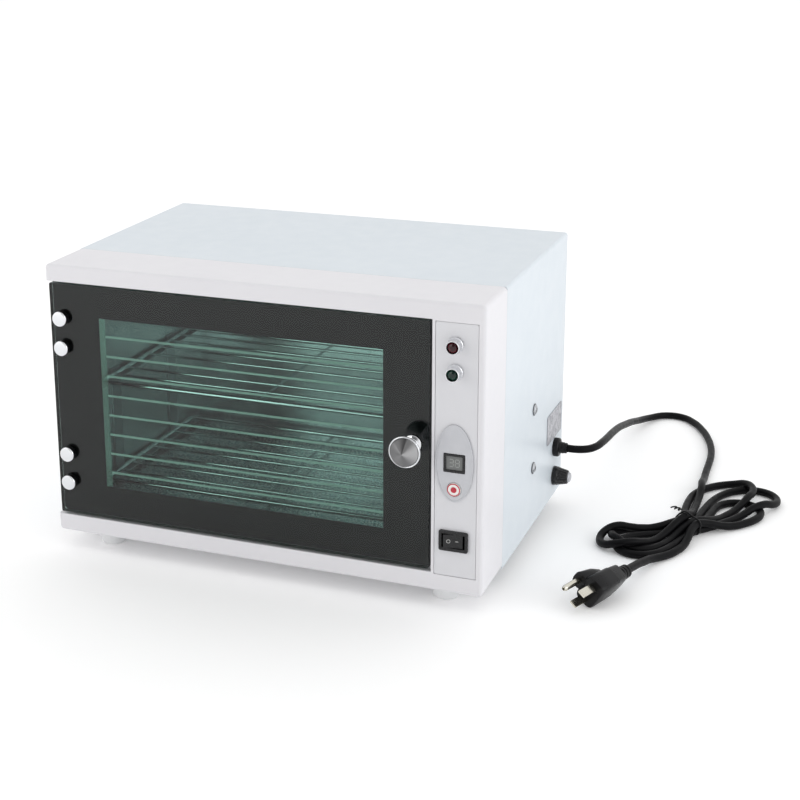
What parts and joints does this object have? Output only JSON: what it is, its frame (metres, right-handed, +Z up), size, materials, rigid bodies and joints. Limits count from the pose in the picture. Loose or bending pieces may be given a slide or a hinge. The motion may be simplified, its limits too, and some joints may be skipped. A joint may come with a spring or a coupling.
{
  "type": "uv sterilizer cabinet",
  "caption": "Bench-top ultraviolet cabinet for salon tools: steel case, hinged tinted glass door, wire racks, control column and tied mains lead.",
  "frame": {"origin": "centre of the cabinet and its fittings in plan, mains lead left out, on the surface the feet stand on", "axes": "+X to the right along the front, +Y from the door towards the back, +Z up"},
  "size_m": [0.5437, 0.5079, 0.24],
  "materials": {
    "black_plastic": "moulded nylon",
    "brass": "nickel-plated brass",
    "chrome": "polished chrome",
    "dark_metal": "dark steel",
    "glass": "green-tinted safety glass",
    "green_lens": "clear green acrylic",
    "grey_rubber": "light grey rubber",
    "label": "blank foil label",
    "lining": "bright stainless sheet",
    "moulding": "satin moulded ABS",
    "print_black": "black screen print",
    "print_pale": "pale translucent print",
    "red_lens": "clear red acrylic",
    "rubber": "black PVC",
    "silver_paint": "silver-painted plastic",
    "steel": "smooth white powder coat",
    "white_plastic": "white plastic",
    "wire": "plated steel wire",
    "zinc": "zinc-plated steel"
  },
  "bodies": {
    "cabinet": {"outer_shell": "steel", "base_pan": "zinc", "rear_panel": "steel", "front_bezel": "moulding", "inner_chamber": "lining", "foot_front_left": "grey_rubber", "foot_front_right": "grey_rubber", "foot_rear_left": "grey_rubber", "foot_rear_right": "grey_rubber", "upper_hinge_bracket": "zinc", "upper_hinge_pin": "dark_metal", "lower_hinge_bracket": "zinc", "lower_hinge_pin": "dark_metal", "magnet_catch": "dark_metal", "rack_rails_left": "zinc", "rack_rails_right": "zinc", "uv_tube": "white_plastic", "lamp_holder_left": "white_plastic", "lamp_holder_right": "white_plastic", "control_panel": "moulding", "oval_fascia": "silver_paint", "timer_module": "black_plastic", "red_lamp_ring": "silver_paint", "red_lamp_lens": "red_lens", "green_lamp_ring": "silver_paint", "green_lamp_lens": "green_lens", "switch_housing": "black_plastic", "ballast": "dark_metal", "side_screw_upper": "zinc", "side_screw_lower": "zinc", "rating_plate": "label", "cable_gland": "rubber", "fuse_holder": "black_plastic", "fuse_nut": "black_plastic", "fuse_cartridge": "brass", "cord_lead": "rubber", "cord_hank": "rubber", "cord_tie": "black_plastic", "cord_tail": "rubber", "plug_body": "rubber", "plug_blade_left": "brass", "plug_blade_right": "brass", "plug_ground_pin": "brass"},
    "door": {"door_glass": "glass", "door_border": "print_black", "window_stripes": "print_pale", "door_knob": "chrome", "knob_screw": "zinc", "strike_plate": "zinc", "upper_hinge_leaf": "zinc", "upper_hinge_cap_top": "chrome", "upper_hinge_cap_bottom": "chrome", "lower_hinge_leaf": "zinc", "lower_hinge_cap_top": "chrome", "lower_hinge_cap_bottom": "chrome"},
    "upper_rack_body": {"upper_rack": "wire"},
    "lower_rack_body": {"lower_rack": "wire"},
    "timer_button_body": {"timer_button": "white_plastic"},
    "switch_rocker_body": {"switch_rocker": "black_plastic"},
    "fuse_cap_body": {"fuse_cap": "black_plastic"}
  },
  "joints": [
    {"name": "door_hinge", "type": "hinge", "parent": "cabinet", "child": "door", "pos_m": [-0.1837, -0.0975, 0.128], "axis": [0, 0, -1], "range_deg": [0, 110]},
    {"name": "upper_rack_slide", "type": "slide", "parent": "cabinet", "child": "upper_rack_body", "axis": [0, -1, 0], "range_m": [0, 0.024]},
    {"name": "lower_rack_slide", "type": "slide", "parent": "cabinet", "child": "lower_rack_body", "axis": [0, -1, 0], "range_m": [0, 0.024]},
    {"name": "timer_button_press", "type": "slide", "parent": "cabinet", "child": "timer_button_body", "axis": [0, 1, 0], "range_m": [0, 0.0012], "stiffness_N_per_m": 800, "springref_m": -0.0008},
    {"name": "switch_rocker_tilt", "type": "hinge", "parent": "cabinet", "child": "switch_rocker_body", "pos_m": [0.1499, -0.1025, 0.0574], "axis": [0, 0, 1], "range_deg": [-16, 0]},
    {"name": "fuse_cap_turn", "type": "hinge", "parent": "cabinet", "child": "fuse_cap_body", "pos_m": [0.1773, 0.1055, 0.033], "axis": [1, 0, 0], "range_deg": [0, 90]}
  ]
}
